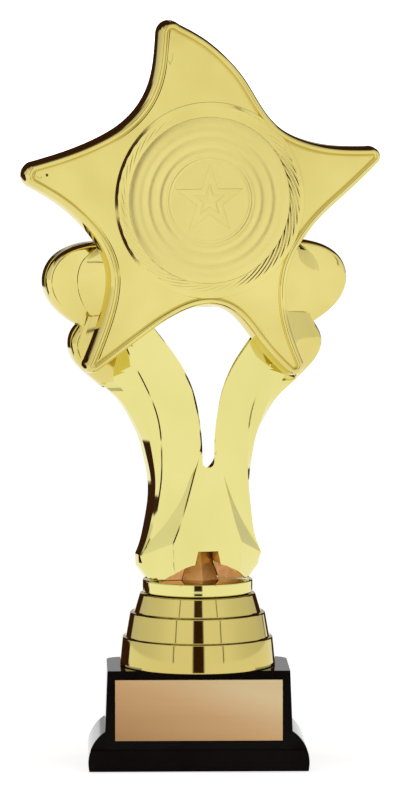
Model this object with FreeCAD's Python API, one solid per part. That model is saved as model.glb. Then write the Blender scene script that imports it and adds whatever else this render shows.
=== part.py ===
"""Star trophy: a gold star figure on a stepped riser and a black plinth.

Millimetres, +Z up. The origin is on the tie rod's axis, in the plane the plinth
stands on. The plinth faces -Y. The figure is drawn in a frame of its own, facing
-Y as well, and is then turned about the rod by FIGURE_TURN, as it is clamped.
"""
import FreeCAD
import Part
import math
import os

V = FreeCAD.Vector
UP = V(0, 0, 1)

# ---- driving dimensions -------------------------------------------------------

# plinth
BASE_TOP_WIDTH = 55.3
BASE_TOP_DEPTH = 32.0
BASE_HEIGHT = 30.8
BODY_WIDTH = 57.6           # body width where it meets the foot
BODY_DEPTH = 34.4
FOOT_WIDTH = 66.3
FOOT_DEPTH = 36.2
FOOT_LEDGE_Z = 6.8          # top of the foot's narrow ledge, front and back
FLARE_Z = 12.5              # where the rounded side flares begin
RIM_Z = 0.4                 # the pad carries the plinth, its rim just clears
BASE_WALL = 2.2
BASE_ROOF = 3.0
BACK_CORNER = 5.0
FLARE_BULGE = (0.78, 0.66)  # shares of its reach and height where a flare is fullest
PAD_THICKNESS = 1.6
PAD_CLEARANCE = 0.6
COVER_THICKNESS = 2.0
COVER_CLEARANCE = 0.4
BALLAST_HEIGHT = 12.0
BALLAST_CLEARANCE = 1.0
BALLAST_HOLE_RADIUS = 8.0

# engraving plate
PLATE_WIDTH = 50.6
PLATE_HEIGHT = 18.4
PLATE_THICKNESS = 0.5
PLATE_CENTRE_Z = 18.9
TAPE_THICKNESS = 0.2
TAPE_MARGIN = 1.5           # the tape's edge inside the plate's edge

# riser: (bottom radius, top radius, top height) of each tier, lowest first
RISER_TIERS = [(23.8, 22.9, 39.5), (21.9, 20.6, 47.0), (19.3, 17.6, 52.8)]
TIER_EDGE = 0.7
RISER_WALL = 1.8

# tie rod, M5
ROD_RADIUS = 2.5
ROD_CLEARANCE = 0.25
ROD_BOTTOM_Z = 18.6
ROD_TOP_Z = 63.4
NUT_ACROSS_FLATS = 8.0
NUT_HEIGHT = 4.0
THIN_NUT_HEIGHT = 2.7       # the nut under the cap
NUT_CHAMFER = 0.45
ROD_CHAMFER = 0.6
WASHER_RADIUS = 7.5
WASHER_THICKNESS = 1.0
LOCK_WASHER_RADIUS = 4.4
LOCK_WASHER_THICKNESS = 1.2
CLAMP_GAP = 0.05            # running gap under the turning pieces

# figure: collar and nut cap
COLLAR_RADIUS = 16.8
COLLAR_BOTTOM_Z = 53.1
COLLAR_TOP_Z = 57.0
COLLAR_EDGE = 0.8
CAP_BOTTOM_RADIUS = 6.4
CAP_TOP_RADIUS = 3.4
CAP_TOP_Z = 66.6
CAP_TURN = 30.0             # degrees, puts a corner of cap and nut to the front
CAP_CLEARANCE = 0.13        # round the nut and the washer
FIGURE_TURN = 13.0          # degrees about the rod, as clamped

# figure: depths are measured forward from the rod's axis
WALL = 1.8
SCROLL_BACK = -6.0
STEM_RIM = 1.9              # front rim of the scrolls
STEM_RIDGE = 13.0           # front edge of the two columns
STEM_PARTING = -2.0
PETAL_FACE = 3.9
STAR_PARTING = 9.5          # where the star's front and back shells meet
STAR_FRONT = 15.5
STAR_EDGE = 1.1             # rounding of the star's front edge
STAR_DISH = 0.7             # depth of the face behind its bead
STAR_BACK_INSET = 2.5       # the back shell stands in from the front one
STAR_BACK_WALL = 1.5
STAR_CLEARANCE = 0.1        # round the front shell, in the stem
BEAD_WIDTH = 2.6
SEAT_WALL = 2.0             # ring round the insert's seat

# medallion
MEDALLION_CENTRE_Z = 172.9
INSERT_RADIUS = 25.0
INSERT_CLEARANCE = 0.1
INSERT_THICKNESS = 1.3
INSERT_PAD_THICKNESS = 0.4
INSERT_PAD_MARGIN = 2.0
GROOVE_RADII = (19.2, 15.6)
GROOVE_HALF_WIDTH = 0.7
GROOVE_DEPTH = 0.25
EMBLEM_RADIUS = 11.8        # the small star's points
EMBLEM_WAIST = 4.6          # its inner corners
EMBLEM_RISE = 0.5
INSERT_SEAT = 13.0          # depth of the seat's floor
ROPE_INNER_RADIUS = 25.1
ROPE_OUTER_RADIUS = 29.3
ROPE_CREST = 16.6

# ---- outlines, as (x, z) in the figure's own frame ------------------------------

# The star's five sides, clockwise from the top point; between two sides a
# rounded tip is an arc through the point that follows.
STAR_SIDES = [
    ([(-8.8, 225.9), (-1.6, 222.0), (5.6, 216.2), (11.7, 209.2), (16.1, 202.2),
      (22.0, 195.1), (30.4, 190.8), (40.0, 188.9), (50.0, 188.6)], (53.9, 186.4)),
    ([(52.9, 183.0), (43.0, 174.0), (35.0, 166.9), (29.4, 160.0), (25.6, 152.6),
      (24.4, 145.0), (25.4, 136.0), (29.8, 123.8)], (28.8, 120.2)),
    ([(24.4, 119.9), (18.8, 125.4), (12.8, 132.8), (6.3, 139.3), (0.0, 141.0),
      (-7.8, 139.2), (-17.2, 133.9), (-27.4, 126.6), (-34.0, 121.9)], (-37.5, 121.8)),
    ([(-37.8, 125.6), (-34.6, 133.6), (-31.9, 142.0), (-31.0, 151.0), (-33.4, 158.6),
      (-38.8, 165.8), (-45.6, 171.8), (-54.8, 177.4)], (-57.0, 181.2)),
    ([(-54.6, 184.8), (-42.6, 188.3), (-33.9, 191.8), (-27.2, 195.6), (-20.6, 202.4),
      (-17.4, 209.4), (-16.1, 216.8), (-15.6, 223.2)], (-13.2, 226.6)),
]

# Right-hand outer edge of the scrolls, from the column up to behind the star.
LOWER_SCROLL = [(29.2, 115.9), (35.0, 120.9), (38.3, 125.2), (39.1, 130.2), (36.8, 134.8)]
UPPER_SCROLL = [(36.8, 134.8), (42.4, 138.8), (46.0, 143.6), (47.0, 149.4),
                (44.8, 154.6), (39.8, 158.2), (34.0, 159.8)]
SCROLL_TOP_Z = 161.5
PETAL_EDGE = [(22.0, 127.0), (29.8, 133.4), (35.6, 140.6), (37.8, 148.9),
              (36.9, 153.4), (32.4, 158.6)]

# Half the width of the opening between the columns, at rising heights.
OPENING_EDGE = [(1.9, 100.0), (2.5, 106.6), (4.5, 115.6), (7.9, 122.9), (13.0, 130.2),
                (16.6, 135.0)]
OPENING_BOTTOM_Z = 92.0
OPENING_TOP_Z = 150.5
OPENING_FRONT = 16.0
OPENING_BACK = -12.0
OPENING_FLARE = 0.28        # each side's widening per millimetre behind the ridge
OPENING_DROP = 0.165        # the bottom's fall per millimetre behind the ridge

# Sections of the trunk: height, then (x, forward depth) of the right-hand
# corners from the middle of the front to the middle of the back.
TRUNK_SECTIONS = [
    (57.6, [(0, 13.2), (6.5, 12.2), (13.4, 7.1), (14.3, 5.6), (16.0, STEM_RIM),
            (12.0, -9.0), (0, -11.0)]),
    (61.4, [(0, 13.2), (7.0, 12.2), (15.9, 6.0), (16.6, 5.2), (18.8, STEM_RIM),
            (12.6, -8.2), (0, -10.2)]),
    (65.0, [(0, 13.2), (10.2, 10.6), (18.6, 4.9), (18.9, 4.6), (19.3, STEM_RIM),
            (13.0, -7.4), (0, -9.2)]),
    (70.0, [(0, 13.2), (10.1, 10.6), (15.7, 5.8), (16.6, 5.5), (17.3, STEM_RIM),
            (12.4, -6.3), (0, -8.0)]),
    (75.0, [(0, 13.2), (8.6, 11.5), (12.2, 8.2), (15.5, 6.6), (16.2, STEM_RIM),
            (12.0, -5.6), (0, -7.2)]),
    (80.0, [(0, 13.3), (7.2, 12.2), (9.2, 10.3), (14.7, 7.6), (15.3, STEM_RIM),
            (12.0, -5.0), (0, -6.4)]),
    (87.0, [(0, 13.3), (5.2, 12.9), (6.1, 11.7), (13.8, 8.3), (15.1, STEM_RIM),
            (12.0, -4.5), (0, -5.7)]),
    (94.0, [(0, 13.3), (3.1, 13.2), (3.5, 12.9), (13.6, 8.6), (16.2, STEM_RIM),
            (13.0, -4.2), (0, -5.0)]),
    (101.0, [(0, 13.1), (1.2, 13.05), (1.75, STEM_RIDGE), (13.8, 8.6), (18.3, STEM_RIM),
             (15.0, -4.4), (0, -5.2)]),
    (108.0, [(0, 13.1), (1.2, 13.05), (2.1, STEM_RIDGE), (14.9, 8.1), (21.8, STEM_RIM),
             (18.0, -4.8), (0, -5.6)]),
    (114.0, [(0, 13.1), (2.0, 13.05), (3.4, STEM_RIDGE), (17.1, 7.5), (26.4, STEM_RIM),
             (22.5, -5.2), (0, -6.0)]),
    (120.0, [(0, 13.1), (3.5, 13.05), (5.8, STEM_RIDGE), (20.0, 7.3), (32.4, STEM_RIM),
             (27.0, -5.6), (0, -6.0)]),
    (130.0, [(0, 13.1), (8.0, 13.05), (12.4, STEM_RIDGE), (24.8, 7.4), (34.4, STEM_RIM),
             (29.0, -5.6), (0, -6.0)]),
    (150.5, [(0, 13.1), (10.0, 13.05), (17.0, STEM_RIDGE), (25.5, 7.4), (31.0, STEM_RIM),
             (27.0, -5.6), (0, -6.0)]),
]
HOLLOW_CORNERS = (0, 1, 3, 4, 5, 6)     # corners the hollow follows, moved in by the wall

# The arched cut-out in the skirt, where the nut cap shows.
ARCH_HALF_WIDTH = 13.3
ARCH_TOP_Z = 63.1
KEY_BOTTOM_HALF = 5.5
KEY_TOP_HALF = 3.1
KEY_TOP_Z = 66.7
ARCH_DEPTHS = (20.0, 4.0)   # forward depths that the cut-out runs between

CUTTER_OVERRUN = 3.0        # how far a cutter runs past what it cuts
BEYOND = 40.0               # a depth past the whole figure, either way


# ---- helpers --------------------------------------------------------------------

def spline(points):
    """Smooth edge through the points."""
    curve = Part.BSplineCurve()
    curve.interpolate(points)
    return curve.toShape()


def arc(start, middle, end):
    return Part.Arc(start, middle, end).toShape()


def face_of(edges):
    return Part.Face(Part.Wire(edges))


def at_depth(depth, points):
    """Points (x, z) of the figure at one depth forward of the rod."""
    return [V(x, -depth, z) for x, z in points]


def inset_face(face, distance):
    """The face with its edge moved inward, as plain spline curves."""
    if not distance:
        return face
    return face.makeOffset2D(-distance, 0).toNurbs().Faces[0]


def slab(face, thickness):
    """Prism that runs backward from a face by the thickness."""
    return face.extrude(V(0, thickness, 0))


def mirrored(points):
    """The same outline on the left-hand side, in reverse order."""
    return [(-x, z) for x, z in reversed(points)]


def inset_polygon(points, distance):
    """Convex clockwise-or-not polygon moved inward by the distance."""
    count = len(points)
    middle_x = sum(p[0] for p in points) / count
    middle_y = sum(p[1] for p in points) / count
    lines = []
    for index in range(count):
        ax, ay = points[index]
        bx, by = points[(index + 1) % count]
        length = math.hypot(bx - ax, by - ay)
        nx, ny = (by - ay) / length, (ax - bx) / length
        offset = nx * ax + ny * ay
        if nx * middle_x + ny * middle_y > offset:
            nx, ny, offset = -nx, -ny, -offset
        lines.append((nx, ny, offset - distance))
    corners = []
    for index in range(count):
        a, b, c = lines[index - 1]
        d, e, f = lines[index]
        cross = a * e - b * d
        corners.append(((c * e - b * f) / cross, (a * f - c * d) / cross))
    return corners


def rod_hole(radius, bottom, top):
    """Round cutter on the rod's axis, run past both heights."""
    height = top - bottom + 2 * CUTTER_OVERRUN
    return Part.makeCylinder(radius, height, V(0, 0, bottom - CUTTER_OVERRUN))


def hexagon(corner_radius, z):
    """Closed hexagonal wire round the rod's axis, one corner to the front."""
    corners = []
    for k in range(7):
        angle = math.radians(CAP_TURN + 60 * k)
        corners.append(V(corner_radius * math.cos(angle), corner_radius * math.sin(angle), z))
    return Part.makePolygon(corners)


def half_space(front, back):
    """Box that holds every figure point between two forward depths."""
    width, height = 3 * FOOT_WIDTH, 2 * SCROLL_TOP_Z
    return Part.makeBox(width, front - back, height, V(-width / 2, -front, 0))


def turned(shape):
    """A figure piece, turned about the rod as it is clamped."""
    copy = shape.copy()
    copy.rotate(V(0, 0, 0), UP, FIGURE_TURN)
    return copy


def save(shape, name):
    shape.exportStep("parts/%s.step" % name)


# ---- plinth ---------------------------------------------------------------------

def rectangle(width, depth, z):
    x, y = width / 2, depth / 2
    return Part.makePolygon([V(-x, -y, z), V(x, -y, z), V(x, y, z), V(-x, y, z), V(-x, -y, z)])


def body_half_depth(z):
    """Distance of the body's front face from the middle at a height."""
    share = (z - RIM_Z) / (BASE_HEIGHT - RIM_Z)
    return (BODY_DEPTH - share * (BODY_DEPTH - BASE_TOP_DEPTH)) / 2


def plinth_body(inset, top_z):
    """The tapered block that rises from the foot, moved in by the inset."""
    bottom = rectangle(BODY_WIDTH - 2 * inset, BODY_DEPTH - 2 * inset, RIM_Z)
    top = rectangle(BASE_TOP_WIDTH - 2 * inset, BASE_TOP_DEPTH - 2 * inset, top_z)
    return Part.makeLoft([bottom, top], True, True)


def plinth_foot(inset):
    """The foot: rounded flares left and right, a flat ledge front and back."""
    half = FOOT_WIDTH / 2 - inset
    waist = BODY_WIDTH / 2 - inset - 0.5
    bulge = (waist + FLARE_BULGE[0] * (half - waist), RIM_Z + FLARE_BULGE[1] * (FLARE_Z - RIM_Z))
    y = -FOOT_DEPTH / 2 + inset
    flares = []
    for side in (1, -1):
        foot_end = V(side * half, y, RIM_Z)
        top_end = V(side * waist, y, FLARE_Z)
        flares.append(arc(foot_end, V(side * bulge[0], y, bulge[1]), top_end))
    left, right = flares[1], flares[0]
    top = Part.makeLine(V(waist, y, FLARE_Z), V(-waist, y, FLARE_Z))
    bottom = Part.makeLine(V(-half, y, RIM_Z), V(half, y, RIM_Z))
    block = slab(face_of([bottom, right, top, left]), FOOT_DEPTH - 2 * inset)
    # above the ledge the foot falls back to the body's own front and back
    back = body_half_depth(FLARE_Z) - inset
    for start in (back, -back - FOOT_DEPTH):
        block = block.cut(Part.makeBox(2 * FOOT_WIDTH, FOOT_DEPTH, FLARE_Z,
                                       V(-FOOT_WIDTH, start, FOOT_LEDGE_Z)))
    return block


def make_base_shell():
    outer = plinth_body(0, BASE_HEIGHT)
    back = [edge for edge in outer.Edges
            if min(v.Y for v in edge.Vertexes) > 0 and abs(edge.tangentAt(0).z) > 0.9]
    outer = outer.makeFillet(BACK_CORNER, back)
    outer = outer.fuse(plinth_foot(0)).removeSplitter()
    cavity = plinth_body(BASE_WALL, BASE_HEIGHT - BASE_ROOF)
    cavity = cavity.fuse(plinth_foot(BASE_WALL))
    below = inner_board(0, RIM_Z - CUTTER_OVERRUN, 2 * CUTTER_OVERRUN)
    shell = outer.cut(cavity.fuse(below))
    roof = BASE_HEIGHT - BASE_ROOF
    return shell.cut(rod_hole(ROD_RADIUS + ROD_CLEARANCE, roof, BASE_HEIGHT))


def inner_board(clearance, bottom, thickness):
    """Flat board that fits the plinth's straight cavity."""
    width = BODY_WIDTH - 2 * BASE_WALL - 2 * clearance
    depth = BODY_DEPTH - 2 * BASE_WALL - 2 * clearance
    return Part.makeBox(width, depth, thickness, V(-width / 2, -depth / 2, bottom))


def make_base_pad():
    return inner_board(PAD_CLEARANCE, 0, PAD_THICKNESS)


def make_base_cover():
    return inner_board(COVER_CLEARANCE, PAD_THICKNESS, COVER_THICKNESS)


def make_ballast():
    bottom = PAD_THICKNESS + COVER_THICKNESS
    block = inner_board(BALLAST_CLEARANCE, bottom, BALLAST_HEIGHT)
    return block.cut(rod_hole(BALLAST_HOLE_RADIUS, bottom, bottom + BALLAST_HEIGHT))


def front_sheet(width, height, thickness, gap):
    """Sheet lying on the plinth's sloping front, the gap off its surface."""
    lean = math.atan2((BODY_DEPTH - BASE_TOP_DEPTH) / 2, BASE_HEIGHT - RIM_Z)
    sheet = Part.makeBox(width, thickness, height, V(-width / 2, -thickness - gap, -height / 2))
    sheet.rotate(V(0, 0, 0), V(1, 0, 0), -math.degrees(lean))
    sheet.translate(V(0, -body_half_depth(PLATE_CENTRE_Z), PLATE_CENTRE_Z))
    return sheet


def make_plate_tape():
    margin = 2 * TAPE_MARGIN
    return front_sheet(PLATE_WIDTH - margin, PLATE_HEIGHT - margin, TAPE_THICKNESS, 0)


def make_engraving_plate():
    return front_sheet(PLATE_WIDTH, PLATE_HEIGHT, PLATE_THICKNESS, TAPE_THICKNESS)


# ---- riser ----------------------------------------------------------------------

def riser_profile(inset):
    """Right-hand (radius, z) outline of the three tiers, moved in by the inset."""
    points = []
    bottom = BASE_HEIGHT
    for low, high, top in RISER_TIERS:
        points.append((low - inset, bottom))
        points.append((high - inset, top - inset - TIER_EDGE))
        points.append((high - inset - TIER_EDGE, top - inset))
        bottom = top - inset
    return points


def revolved(points, bottom, top):
    """Solid of revolution under a (radius, z) outline, closed on the axis."""
    corners = [V(0, 0, bottom)] + [V(r, 0, z) for r, z in points] + [V(0, 0, top)]
    face = Part.Face(Part.makePolygon(corners + corners[:1]))
    return face.revolve(V(0, 0, 0), UP, 360)


def make_riser():
    top = RISER_TIERS[-1][2]
    shell = revolved(riser_profile(0), BASE_HEIGHT, top)
    shell = shell.cut(revolved(riser_profile(RISER_WALL), BASE_HEIGHT, top - RISER_WALL))
    return shell.cut(rod_hole(ROD_RADIUS + ROD_CLEARANCE, BASE_HEIGHT, top))


# ---- rod and fasteners ------------------------------------------------------------

def make_tie_rod():
    rod = Part.makeCylinder(ROD_RADIUS, ROD_TOP_Z - ROD_BOTTOM_Z, V(0, 0, ROD_BOTTOM_Z))
    ends = [edge for edge in rod.Edges if isinstance(edge.Curve, Part.Circle)]
    return rod.makeChamfer(ROD_CHAMFER, ends)


def nut(bottom, height):
    """Hexagon nut on the rod, with its corners turned off top and bottom."""
    corner = NUT_ACROSS_FLATS / math.sqrt(3)
    block = Part.Face(hexagon(corner, bottom)).extrude(V(0, 0, height))
    blank = Part.makeCylinder(corner, height, V(0, 0, bottom))
    rims = [edge for edge in blank.Edges if isinstance(edge.Curve, Part.Circle)]
    block = block.common(blank.makeChamfer(NUT_CHAMFER, rims))
    return block.cut(rod_hole(ROD_RADIUS, bottom, bottom + height))


def washer(radius, bottom, thickness, bore):
    disc = Part.makeCylinder(radius, thickness, V(0, 0, bottom))
    return disc.cut(rod_hole(bore, bottom, bottom + thickness))


def clamp_heights():
    """Under the plinth's roof: washer bottom, lock washer bottom, nut bottom."""
    washer_bottom = BASE_HEIGHT - BASE_ROOF - WASHER_THICKNESS
    lock_bottom = washer_bottom - CLAMP_GAP - LOCK_WASHER_THICKNESS
    return washer_bottom, lock_bottom, lock_bottom - NUT_HEIGHT


# ---- collar and nut cap -----------------------------------------------------------

def make_collar():
    disc = Part.makeCylinder(COLLAR_RADIUS, COLLAR_TOP_Z - COLLAR_BOTTOM_Z,
                             V(0, 0, COLLAR_BOTTOM_Z))
    rims = [edge for edge in disc.Edges if isinstance(edge.Curve, Part.Circle)]
    disc = disc.makeFillet(COLLAR_EDGE, rims)
    return disc.cut(rod_hole(ROD_RADIUS, COLLAR_BOTTOM_Z, COLLAR_TOP_Z))


def make_nut_cap():
    """Tapered hexagonal cap over the upper nut, one corner to the front."""
    outer = Part.makeLoft([hexagon(CAP_BOTTOM_RADIUS, COLLAR_TOP_Z),
                           hexagon(CAP_TOP_RADIUS, CAP_TOP_Z)], True, True)
    below = COLLAR_TOP_Z - CUTTER_OVERRUN
    washer_top = COLLAR_TOP_Z + WASHER_THICKNESS + CAP_CLEARANCE
    round_pocket = Part.makeCylinder(LOCK_WASHER_RADIUS + CAP_CLEARANCE, washer_top - below,
                                     V(0, 0, below))
    nut_top = COLLAR_TOP_Z + WASHER_THICKNESS + THIN_NUT_HEIGHT + CAP_CLEARANCE
    corner = (NUT_ACROSS_FLATS / 2 + CAP_CLEARANCE) / math.cos(math.radians(30))
    hex_pocket = Part.Face(hexagon(corner, below)).extrude(V(0, 0, nut_top - below))
    rod_pocket = Part.makeCylinder(ROD_RADIUS + CAP_CLEARANCE, ROD_TOP_Z + CAP_CLEARANCE - below,
                                   V(0, 0, below))
    return outer.cut(round_pocket.fuse([hex_pocket, rod_pocket]))


# ---- star -------------------------------------------------------------------------

def star_edges(depth):
    """The star's closed outline at one forward depth."""
    edges = []
    count = len(STAR_SIDES)
    for index in range(count):
        points, tip = STAR_SIDES[index]
        following = STAR_SIDES[(index + 1) % count][0]
        side = at_depth(depth, points)
        end = at_depth(depth, [tip, following[0]])
        edges.append(spline(side))
        edges.append(arc(side[-1], end[0], end[1]))
    return edges


def star_face(depth, inset):
    return inset_face(face_of(star_edges(depth)), inset)


def medallion_cylinder(radius, front, back):
    """Disc about the medallion's axis between two forward depths."""
    return Part.makeCylinder(radius, front - back, V(0, -front, MEDALLION_CENTRE_Z), V(0, 1, 0))


def rim_edges(solid, depth):
    """Edges of a figure piece that lie in one plane facing forward."""
    return [edge for edge in solid.Edges
            if abs(edge.BoundBox.YMin + depth) < 0.01 and edge.BoundBox.YLength < 0.02]


def make_star_front():
    """Star tray: beaded rim, dished face, seat for the insert, open back."""
    tray = slab(star_face(STAR_FRONT, 0), STAR_FRONT - STAR_PARTING)
    tray = tray.makeFillet(STAR_EDGE, rim_edges(tray, STAR_FRONT))
    tray = tray.cut(slab(star_face(STAR_FRONT, BEAD_WIDTH), STAR_DISH))
    floor = STAR_FRONT - STAR_DISH - WALL
    hollow = slab(star_face(floor, WALL), floor - STAR_PARTING)
    hollow = hollow.cut(medallion_cylinder(INSERT_RADIUS + SEAT_WALL, STAR_FRONT,
                                           INSERT_SEAT - WALL))
    tray = tray.cut(hollow)
    return tray.cut(medallion_cylinder(INSERT_RADIUS + INSERT_CLEARANCE, BEYOND, INSERT_SEAT))


def make_star_back():
    """Back shell of the star, let into the stem where the columns rise."""
    depth = STAR_PARTING - STEM_RIM
    shell = slab(star_face(STAR_PARTING, STAR_BACK_INSET), depth)
    hollow = slab(star_face(STAR_PARTING, STAR_BACK_INSET + STAR_BACK_WALL),
                  depth - STAR_BACK_WALL)
    shell = shell.cut(hollow)
    shell = shell.cut(trunk(0).cut(opening(0)).fuse([petal(1, 0), petal(-1, 0)]))
    return max(shell.Solids, key=lambda solid: solid.Volume)


def make_insert_pad():
    return medallion_cylinder(INSERT_RADIUS - INSERT_PAD_MARGIN,
                              INSERT_SEAT + INSERT_PAD_THICKNESS, INSERT_SEAT)


def make_insert_disc():
    """Medallion with rings and a small raised star."""
    back = INSERT_SEAT + INSERT_PAD_THICKNESS
    front = back + INSERT_THICKNESS
    disc = medallion_cylinder(INSERT_RADIUS, front, back)
    for radius in GROOVE_RADII:
        groove = medallion_cylinder(radius + GROOVE_HALF_WIDTH, BEYOND, front - GROOVE_DEPTH)
        core = medallion_cylinder(radius - GROOVE_HALF_WIDTH, BEYOND, back)
        disc = disc.cut(groove.cut(core))
    corners = []
    for k in range(11):
        radius = EMBLEM_RADIUS if k % 2 == 0 else EMBLEM_WAIST
        angle = math.radians(36 * k)
        corners.append(V(radius * math.sin(angle), -front,
                         MEDALLION_CENTRE_Z + radius * math.cos(angle)))
    star = Part.Face(Part.makePolygon(corners)).extrude(V(0, -EMBLEM_RISE, 0))
    return disc.fuse(star)


def make_rope_ring():
    """Half-round ring that frames the insert."""
    middle = (ROPE_INNER_RADIUS + ROPE_OUTER_RADIUS) / 2
    back = STAR_FRONT - STAR_DISH
    inner, crest, outer = (V(r, -d, 0) for r, d in (
        (ROPE_INNER_RADIUS, back), (middle, ROPE_CREST), (ROPE_OUTER_RADIUS, back)))
    profile = face_of([arc(inner, crest, outer), Part.makeLine(outer, inner)])
    ring = profile.revolve(V(0, 0, 0), V(0, 1, 0), 360)
    ring.translate(V(0, 0, MEDALLION_CENTRE_Z))
    # the bead of the rim is cut away where the ring meets it
    return ring.common(slab(star_face(BEYOND, BEAD_WIDTH + CLAMP_GAP), BEYOND))


# ---- stem: scrolls, columns and skirt ------------------------------------------------

def scroll_face(depth, inset):
    """Outline of the scrolls, closed under and across behind the star."""
    lower, upper = at_depth(depth, LOWER_SCROLL), at_depth(depth, UPPER_SCROLL)
    lower_left = at_depth(depth, mirrored(LOWER_SCROLL))
    upper_left = at_depth(depth, mirrored(UPPER_SCROLL))
    edges = [
        spline(lower),
        spline(upper),
        arc(upper[-1], V(0, -depth, SCROLL_TOP_Z), upper_left[0]),
        spline(upper_left),
        spline(lower_left),
        Part.makeLine(lower_left[-1], lower[0]),
    ]
    return inset_face(face_of(edges), inset)


def petal(side, inset):
    """Raised inner petal of one scroll."""
    points = [(side * x, z) for x, z in PETAL_EDGE]
    depth = PETAL_FACE - inset
    rim = at_depth(depth, points)
    face = face_of([spline(rim), Part.makeLine(rim[-1], rim[0])])
    return slab(face, PETAL_FACE - inset)


def opening(extra):
    """Flared cutter between the columns, made wider all round by the extra."""
    wires = []
    for depth in (OPENING_FRONT, OPENING_BACK):
        behind = STEM_RIDGE - depth
        widen, drop = OPENING_FLARE * behind, OPENING_DROP * behind
        edge = [(x + widen + extra, z) for x, z in OPENING_EDGE]
        right = at_depth(depth, edge)
        left = at_depth(depth, mirrored(edge))
        top = V(0, -depth, OPENING_TOP_Z + extra)
        bottom = V(0, -depth, OPENING_BOTTOM_Z - drop - extra)
        round_z = bottom.z + edge[0][0]
        low_right = V(edge[0][0], -depth, round_z)
        low_left = V(-edge[0][0], -depth, round_z)
        wires.append(Part.Wire([spline(right), arc(right[-1], top, left[0]), spline(left),
                                Part.makeLine(left[-1], low_left),
                                arc(low_left, bottom, low_right),
                                Part.makeLine(low_right, right[0])]))
    return Part.makeLoft(wires, True, True)


def trunk(inset):
    """Columns and skirt as one tapered body of convex sections."""
    wires = []
    last = len(TRUNK_SECTIONS) - 1
    for index, (z, half) in enumerate(TRUNK_SECTIONS):
        corners = [half[k] for k in HOLLOW_CORNERS] if inset else half
        points = corners + [(-x, y) for x, y in reversed(corners[1:-1])]
        if inset:
            points = inset_polygon(points, inset)
        if index == last:
            z = z - inset
        if index == 0 and inset:
            z = z - CUTTER_OVERRUN
        ring = [V(x, -y, z) for x, y in points]
        wires.append(Part.makePolygon(ring + ring[:1]))
    return Part.makeLoft(wires, True, True)


def skirt_arch():
    """Cutter for the arched notch at the front of the skirt."""
    low = COLLAR_TOP_Z
    depth, rear = ARCH_DEPTHS
    left, right = V(-ARCH_HALF_WIDTH, -depth, low), V(ARCH_HALF_WIDTH, -depth, low)
    arch = face_of([arc(left, V(0, -depth, ARCH_TOP_Z), right), Part.makeLine(right, left)])
    key = Part.Face(Part.makePolygon(at_depth(depth, [
        (-KEY_BOTTOM_HALF, low), (KEY_BOTTOM_HALF, low), (KEY_TOP_HALF, KEY_TOP_Z),
        (-KEY_TOP_HALF, KEY_TOP_Z), (-KEY_BOTTOM_HALF, low)])))
    return slab(arch, depth - rear).fuse(slab(key, depth - rear))


def stem_solid(inset):
    """The whole stem, or its hollow when moved in by the wall."""
    scrolls = slab(scroll_face(STEM_RIM - inset, inset), STEM_RIM - SCROLL_BACK - 2 * inset)
    body = scrolls.fuse([petal(1, inset), petal(-1, inset), trunk(inset)])
    return body.cut(opening(inset))


def make_stem_halves():
    shell = stem_solid(0).cut(stem_solid(WALL))
    shell = shell.cut(skirt_arch())
    shell = shell.cut(slab(star_face(BEYOND, -STAR_CLEARANCE), BEYOND - STAR_PARTING))
    front = shell.common(half_space(BEYOND, STEM_PARTING))
    rear = shell.common(half_space(STEM_PARTING, -BEYOND))
    return front, rear


# ---- all pieces -------------------------------------------------------------------

def main():
    os.makedirs("parts", exist_ok=True)
    washer_bottom, lock_bottom, nut_bottom = clamp_heights()
    loose_bore = ROD_RADIUS + ROD_CLEARANCE

    save(make_base_pad(), "base_pad")
    save(make_base_cover(), "base_cover")
    save(make_ballast(), "ballast_block")
    save(make_base_shell(), "base_shell")
    save(make_plate_tape(), "plate_tape")
    save(make_engraving_plate(), "engraving_plate")
    save(washer(WASHER_RADIUS, washer_bottom, WASHER_THICKNESS, loose_bore), "lower_washer")
    save(make_riser(), "riser_shell")

    save(washer(LOCK_WASHER_RADIUS, lock_bottom, LOCK_WASHER_THICKNESS, ROD_RADIUS),
         "lock_washer")
    save(turned(nut(nut_bottom, NUT_HEIGHT)), "lower_nut")
    save(make_tie_rod(), "tie_rod")
    save(make_collar(), "collar")
    save(washer(LOCK_WASHER_RADIUS, COLLAR_TOP_Z, WASHER_THICKNESS, ROD_RADIUS), "upper_washer")
    save(turned(nut(COLLAR_TOP_Z + WASHER_THICKNESS, THIN_NUT_HEIGHT)), "upper_nut")
    save(turned(make_nut_cap()), "nut_cap")

    front, rear = make_stem_halves()
    save(turned(front), "stem_front")
    save(turned(rear), "stem_rear")
    save(turned(make_star_front()), "star_front")
    save(turned(make_star_back()), "star_back")
    save(turned(make_insert_pad()), "insert_pad")
    save(turned(make_insert_disc()), "insert_disc")
    save(turned(make_rope_ring()), "rope_ring")


main()
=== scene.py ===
"""Looks of the star trophy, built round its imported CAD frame.

Outlines are written in millimetres in the figure's own frame, as (x, z) or
(x, forward depth, z), and are turned about the tie rod like the CAD figure.
"""

import math

import bmesh
import bpy
import numpy as np
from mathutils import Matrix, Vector
from mathutils.geometry import delaunay_2d_cdt

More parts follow.
